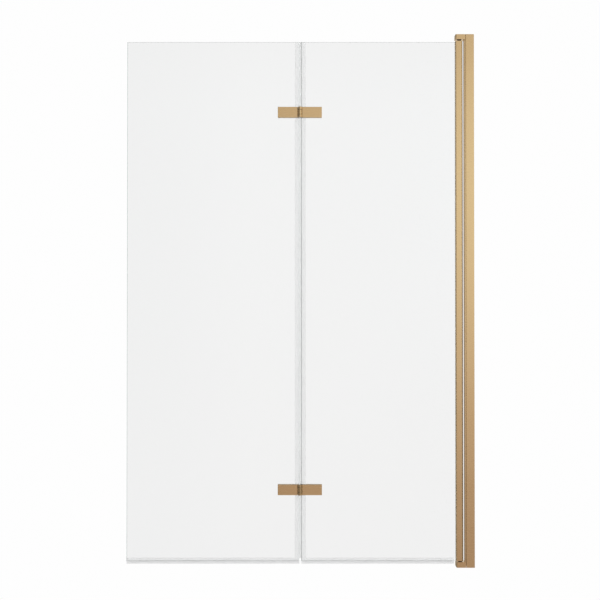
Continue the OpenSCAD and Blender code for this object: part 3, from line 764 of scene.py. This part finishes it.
drawn_section(
    "glass_holding_extrusion", glass_profile_loops, profile_foot, profile_head, UPRIGHT,
    "inner_panel", "brass_finish", brushed_brass, ["glass_profile"], shift=pivot[:2],
)

# ---- The bushes. Two flanged nylon bushes turned from rod, pressed into the ends of the round
# port. They run on the pivot pins, and the lower one's flange carries both panels.


def moulded(name, light_tone, dark_tone, roughness, grain_size):
    """Matt plastic or rubber with a fine uneven skin."""
    finish, graph = new_finish(name)
    skin = noise(graph, own_place(graph), scale=1 / grain_size, detail=4.0)
    tone = mix(graph, skin, dark_tone, light_tone)
    bump = graph.add(
        "ShaderNodeBump", inputs={"Strength": 0.4, "Distance": 0.02 * MM, "Height": skin}
    )
    plastic = graph.add(
        "ShaderNodeBsdfPrincipled",
        inputs={"Base Color": tone, "Roughness": skin * 0.15 + roughness, "Normal": bump},
    )
    graph.add("ShaderNodeOutputMaterial", inputs={"Surface": plastic})
    return finish


# The nylon's dark brown is partly its own colour and partly painted shade: it is kept dark so that
# the gaps at the profile's ends and beside the knuckles read as shade.
brown_nylon = moulded(
    "brown_nylon", light_tone=(0.17, 0.12, 0.08, 1.0), dark_tone=(0.12, 0.085, 0.055, 1.0),
    roughness=0.38, grain_size=0.9 * MM,
)
BUSH_BODY = 20.0


def bush(name, node, facing):
    """A flanged bush whose flange starts at the node's lower end, or at its upper end."""
    low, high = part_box(node)
    flange = (high.z - low.z) / MM - BUSH_BODY
    end = flange + BUSH_BODY
    shape = turned(
        name + "_shape",
        [(2.75, 0), (4.8, 0), (5.0, 0.2), (5.0, flange), (3.2, flange), (3.2, end - 0.4),
         (2.9, end), (2.55, end), (2.55, 0.2)],
        closed=True,
    )
    middle = ((low.x + high.x) / 2, (low.y + high.y) / 2, low.z if facing == HEAD_UP else high.z)
    copies_at(name, shape, [(middle, facing)], "inner_panel", "nylon", brown_nylon, [node])
    bpy.data.objects.remove(shape)


bush("bottom_bush", "bottom_pivot_bush", HEAD_UP)
bush("top_bush", "top_pivot_bush", HEAD_DOWN)

# ---- The glazing strip. Clear soft PVC folded round the glass edge and pushed with it into the
# profile's slot. Only two thin lips show, before and behind the glass.

SEAL_WALL = 1.0
# The web bounds and tones below paint shade: a darker grey along the glass edges' clip webs.
SHADE_BEFORE_EDGE, SHADE_BEHIND_EDGE = 0.8 * MM, 1.6 * MM
BULB_NEAR, BULB_FAR = 1.1 * MM, 3.3 * MM
BLADE_TONE, SILL_PAINTED_SHADE, SEAM_PAINTED_SHADE = grey(0.90), grey(0.59), grey(0.70)
VINYL_IOR = 1.38
HAZE_SHARE = 0.08
UNBENT_THROUGH_BULB = 0.65


def open_to_lamps(graph, body, level):
    """Shows the body, and lets the lamps' light straight through it, dimmed to the level."""
    for_lamps = graph.add("ShaderNodeBsdfTransparent", inputs={"Color": grey(level)})
    shadow_ray = graph.add("ShaderNodeLightPath", output="Is Shadow Ray")
    shown = mix_shaders(graph, shadow_ray, body, for_lamps)
    graph.add("ShaderNodeOutputMaterial", inputs={"Surface": shown})


def clear_soft_plastic():
    """Clear extruded PVC, a little blurred and very slightly hazed. The blades below the glass
    are softer and milkier, the webs that close the clips round the glass edges are darker, as
    painted shade of the dark lines there, and the bulb between the panels is thin-walled, so that
    more light passes it unbent."""
    finish, graph = new_finish("clear_vinyl")
    place = own_place(graph)
    waves = noise(graph, place, scale=260.0)
    height, across = part(graph, "Z", place), part(graph, "X", place)
    foot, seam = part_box("inner_glass")[0].z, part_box("inner_glass")[0].x
    blade = height < foot
    sill_shade_mask = blade * (height > foot - SEAL_WALL * MM)
    seam_shade_mask = (
        (across < seam + SHADE_BEHIND_EDGE) * (across > seam - SHADE_BEFORE_EDGE) * (height > foot)
    )
    bulb = (across < seam - BULB_NEAR) * (across > seam - BULB_FAR) * (height > foot)
    tone = mix(graph, waves, (0.975, 0.978, 0.978, 1.0), (0.995, 0.997, 0.997, 1.0))
    # The sill and seam webs take darker tones: painted shade along the glass edges.
    for region, region_tone in (
        (blade, BLADE_TONE), (sill_shade_mask, SILL_PAINTED_SHADE), (seam_shade_mask, SEAM_PAINTED_SHADE)
    ):
        tone = mix(graph, region, tone, region_tone)
    bump = graph.add(
        "ShaderNodeBump", inputs={"Strength": 0.04, "Distance": 0.03 * MM, "Height": waves}
    )
    vinyl = graph.add(
        "ShaderNodeBsdfPrincipled",
        inputs={
            "Base Color": tone,
            "Roughness": waves * 0.06 + blade * 0.2 + 0.10,
            "IOR": VINYL_IOR,
            "Transmission Weight": 1.0,
            "Normal": bump,
        },
    )
    haze = graph.add(
        "ShaderNodeBsdfPrincipled",
        inputs={"Base Color": grey(0.96), "Roughness": waves * 0.06 + 0.3, "IOR": VINYL_IOR},
    )
    thin_wall = graph.add("ShaderNodeBsdfTransparent", inputs={"Color": grey(0.985)})
    hazed = mix_shaders(graph, HAZE_SHARE, vinyl, haze)
    body = mix_shaders(graph, bulb * UNBENT_THROUGH_BULB, hazed, thin_wall)
    open_to_lamps(graph, body, 0.9)
    return finish


clear_vinyl = clear_soft_plastic()
PLAY = 0.05
GLASS_HALF = 3
STRIP_LIP = 0.6
STRIP_WALL = 1
strip_open, strip_end, strip_half = GLASS_SIDE - STRIP_LIP, SLOT_END - PLAY, SLOT_HALF - PLAY
grip_half, grip_end = GLASS_HALF + PLAY, SLOT_END - STRIP_WALL + PLAY
glass_foot, glass_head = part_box("inner_glass")[0].z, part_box("inner_glass")[1].z
drawn_section(
    "glass_edge_strip",
    [[(strip_open, -strip_half, 0.3), (strip_end, -strip_half, 0.3), (strip_end, strip_half, 0.3),
      (strip_open, strip_half, 0.3), (strip_open, grip_half, 0.15), (grip_end, grip_half),
      (grip_end, -grip_half), (strip_open, -grip_half, 0.15)]],
    glass_foot, glass_head, UPRIGHT, "inner_panel", "clear_vinyl", clear_vinyl,
    ["glazing_strip"], shift=pivot[:2],
)

# ---- The glass panels. Clear toughened float glass, 6 mm, its edges ground to a small bevel and
# polished. The sheet is nearly colourless square on, and its edges show the green of its iron.

SHEET_FACE = 0.9
EDGE_FACE = 0.4
EDGE_GREEN_SHARE = 0.8


def clear_float_glass():
    """A clear sheet whose edge faces look green and polished from outside. Which face is which
    follows from how squarely it faces the front or the back."""
    finish, graph = new_finish("clear_float_glass")
    facing = graph.add("ShaderNodeTexCoord", output="Normal")
    squareness = abs(part(graph, "Y", facing))
    ground = squareness < SHEET_FACE
    edge_face = squareness < EDGE_FACE
    upright = abs(part(graph, "X", facing)) > EDGE_FACE
    place = own_place(graph)
    cloud = noise(graph, place, scale=3.0)
    sheet = mix(graph, cloud, (0.898, 0.902, 0.901, 1.0), (0.904, 0.908, 0.907, 1.0))
    edge = mix(graph, upright, (0.95, 0.98, 0.965, 1.0), (0.30, 0.42, 0.38, 1.0))
    glass = graph.add(
        "ShaderNodeBsdfPrincipled",
        inputs={
            "Base Color": mix(graph, ground, sheet, edge),
            "Roughness": ground * 0.12,
            "IOR": 1.5,
            "Transmission Weight": 1.0,
        },
    )
    wheel_marks = noise(graph, place, scale=420.0)
    green = mix(graph, wheel_marks, (0.25, 0.43, 0.37, 1.0), (0.33, 0.52, 0.45, 1.0))
    polished_edge = graph.add(
        "ShaderNodeBsdfPrincipled",
        inputs={"Base Color": green, "Roughness": wheel_marks * 0.1 + 0.12},
    )
    from_inside = graph.add("ShaderNodeNewGeometry", output="Backfacing")
    green_edge = edge_face * (1.0 - from_inside) * EDGE_GREEN_SHARE
    body = mix_shaders(graph, green_edge, glass, polished_edge)
    open_to_lamps(graph, body, 0.93)
    return finish


float_glass = clear_float_glass()
for node in ("inner_glass", "outer_glass"):
    for slot in frame["nodes"][node].material_slots:
        slot.material = float_glass

# ---- The bottom seals. Clear PVC extrusions that clip onto the lower edge of each glass. An
# upright wiper at the back rests on the bath's rim, and a deflector blade leans out in front.

SEAL_HALF = 4.0
WIPER_FACE, WIPER_BACK, WIPER_FOOT = 3.0, 3.5, 8.6
DEFLECTOR_BACK, DEFLECTOR_FACE, DEFLECTOR_FOOT = -4.9, -5.4, 7.6
seal_grip = (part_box("inner_bottom_seal")[1].z - glass_foot) / MM
bottom_seal_loop = [
    (-SEAL_HALF, seal_grip, 0.3), (-grip_half, seal_grip, 0.3), (-grip_half, -PLAY),
    (grip_half, -PLAY), (grip_half, seal_grip, 0.3), (SEAL_HALF, seal_grip, 0.3),
    (SEAL_HALF, -SEAL_WALL, 0.4),
    (WIPER_BACK, -WIPER_FOOT, 0.2), (WIPER_FACE, -WIPER_FOOT, 0.2),
    (WIPER_FACE, -SEAL_WALL, 0.3), (-WIPER_FACE, -SEAL_WALL, 0.3),
    (DEFLECTOR_BACK, -DEFLECTOR_FOOT, 0.2), (DEFLECTOR_FACE, -DEFLECTOR_FOOT, 0.2),
    (-SEAL_HALF, -SEAL_WALL, 0.6),
]
for side in ("inner", "outer"):
    low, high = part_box(f"{side}_bottom_seal")
    drawn_section(
        f"{side}_sill_seal", [bottom_seal_loop], low.x, high.x, LEVEL, f"{side}_panel",
        "clear_vinyl", clear_vinyl, [f"{side}_bottom_seal"], shift=(0, glass_foot),
    )

# ---- The seam seals. Clear PVC clips on the two glass edges that meet, cut in three lengths
# round the hinges. The outer ones carry a hollow bulb that closes the gap when it is flat.

CLIP = 11.8
BULB = 1.45
BULB_WALL = 0.5
HOLLOW_STEP = 15
inner_clip = [
    (-SEAL_WALL, -SEAL_HALF, 0.4), (CLIP, -SEAL_HALF, 0.3), (CLIP, -grip_half, 0.3),
    (-PLAY, -grip_half), (-PLAY, grip_half), (CLIP, grip_half, 0.3), (CLIP, SEAL_HALF, 0.3),
    (-SEAL_WALL, SEAL_HALF, 0.4),
]
bulb_middle = SEAL_WALL + BULB
outer_clip = [
    (SEAL_WALL, -BULB), *[(bulb_middle + x, y) for x, y in arc(BULB, -90, 90)],
    (SEAL_WALL, BULB), (SEAL_WALL, SEAL_HALF, 0.4), (-CLIP, SEAL_HALF, 0.3),
    (-CLIP, grip_half, 0.3), (PLAY, grip_half), (PLAY, -grip_half), (-CLIP, -grip_half, 0.3),
    (-CLIP, -SEAL_HALF, 0.3), (SEAL_WALL, -SEAL_HALF, 0.4),
]
bulb_hollow = [
    (bulb_middle + x, y) for x, y in arc(BULB - BULB_WALL, 0, 360 - HOLLOW_STEP, HOLLOW_STEP)
]
inner_edge, outer_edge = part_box("inner_glass")[0].x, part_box("outer_glass")[1].x
for level in ("lower", "middle", "upper"):
    for side, loops, edge in (("inner", [inner_clip], inner_edge),
                              ("outer", [outer_clip, bulb_hollow], outer_edge)):
        node = f"{side}_seam_seal_{level}"
        low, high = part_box(node)
        drawn_section(
            f"{side}_edge_seal_{level}", loops, low.z, high.z, UPRIGHT, f"{side}_panel",
            "clear_vinyl", clear_vinyl, [node], shift=(edge, 0),
        )

# ---- The hinges' plates. Each hinge has two front plates that meet in a knuckled barrel in front
# of the seam, and two back plates. They are cast, ground flat and brushed in the brass finish.

for height in ("lower", "upper"):
    for side in ("inner", "outer"):
        hinge = f"{height}_hinge_{side}"
        eased_copy(f"{hinge}_front_plate", f"{hinge}_leaf", f"{side}_panel", "brass_finish",
                   brushed_brass, ease=0.22 * MM)
        eased_copy(f"{hinge}_rear_plate", f"{hinge}_back_plate", f"{side}_panel",
                   "brass_finish", brushed_brass, ease=0.22 * MM)

# ---- The hinges' soft parts. Die-cut rubber gaskets lie between the plates and the glass, and a
# nylon sleeve in each glass hole keeps the screw off its edge.

gasket_rubber = moulded(
    "gasket_rubber", light_tone=(0.19, 0.19, 0.185, 1.0), dark_tone=(0.13, 0.13, 0.125, 1.0),
    roughness=0.6, grain_size=0.5 * MM,
)
axis_x, axis_y = frame["joints"][1]["pos_m"][:2]
hinge_heights = [
    (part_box(f"{height}_hinge_pin")[0].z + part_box(f"{height}_hinge_pin")[1].z) / 2
    for height in ("lower", "upper")
]
CLAMP_REACHES = (19.95 * MM, 43.95 * MM)
sleeve = turned(
    "sleeve",
    [(2.7, -3.95), (4.8, -3.95), (4.95, -3.8), (4.95, 3.8), (4.8, 3.95), (2.7, 3.95),
     (2.55, 3.8), (2.55, -3.8)],
    closed=True,
)
clamp_spots = {
    side: [(axis_x + away * reach, z) for z in hinge_heights for reach in CLAMP_REACHES]
    for side, away in (("inner", 1), ("outer", -1))
}
for side, spots in clamp_spots.items():
    for height in ("lower", "upper"):
        hinge = f"{height}_hinge_{side}"
        eased_copy(f"{hinge}_pads", f"{hinge}_gaskets", f"{side}_panel", "gasket_rubber",
                   gasket_rubber, ease=0.1 * MM)
    copies_at(
        f"{side}_sleeve_set", sleeve, [((x, 0, z), HEAD_TO_BACK) for x, z in spots],
        f"{side}_panel", "nylon", brown_nylon,
        [f"{height}_hinge_{side}_sleeves" for height in ("lower", "upper")],
    )

# ---- The clamp screws. Countersunk stainless screws with hexagonal sockets, driven in from the
# back. They pull each back plate, the glass and the front plate together.

clamp_screw = countersunk("clamp_screw", head_radius=4.7, shank_radius=2.5, length=15.95,
                          socket_radius=1.73, socket_depth=1.7)
plate_back_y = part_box("lower_hinge_inner_back_plate")[1].y
for side, spots in clamp_spots.items():
    copies_at(
        f"{side}_clamp_screw_set", clamp_screw,
        [((x, plate_back_y, z), HEAD_TO_BACK) for x, z in spots], f"{side}_panel",
        "bright_steel", bright_steel,
        [f"{height}_hinge_{side}_screws" for height in ("lower", "upper")], seed=5,
    )

# ---- The hinge pins and washers. A steel pin is pressed into the end knuckles and runs in the
# middle one, and thin nylon washers keep the knuckles apart.

steel_pin("hinge_pin_set", "lower_hinge_pin", "inner_panel", "upper_hinge_pin")
WASHER_THICK, WASHER_EASE = 0.8, 0.1
MIDDLE_KNUCKLE_HALF = 5.75
WASHER_LOW = -MIDDLE_KNUCKLE_HALF - PLAY - WASHER_THICK
WASHER_HIGH = MIDDLE_KNUCKLE_HALF + PLAY
washer = turned(
    "washer",
    [(2.6, 0), (5.05, 0), (5.15, WASHER_EASE), (5.15, WASHER_THICK - WASHER_EASE),
     (5.05, WASHER_THICK), (2.6, WASHER_THICK), (2.55, WASHER_THICK - WASHER_EASE),
     (2.55, WASHER_EASE)],
    closed=True,
)
copies_at(
    "washer_set", washer,
    [((axis_x, axis_y, z + foot * MM), HEAD_UP) for z in hinge_heights
     for foot in (WASHER_LOW, WASHER_HIGH)],
    "inner_panel", "nylon", brown_nylon, ["lower_hinge_washers", "upper_hinge_washers"],
)

# ---- Last, the loose patterns of the repeated pieces are put away.

for shape in (pan_screw, snap_cap, block_screw, sleeve, clamp_screw, washer):
    bpy.data.objects.remove(shape)
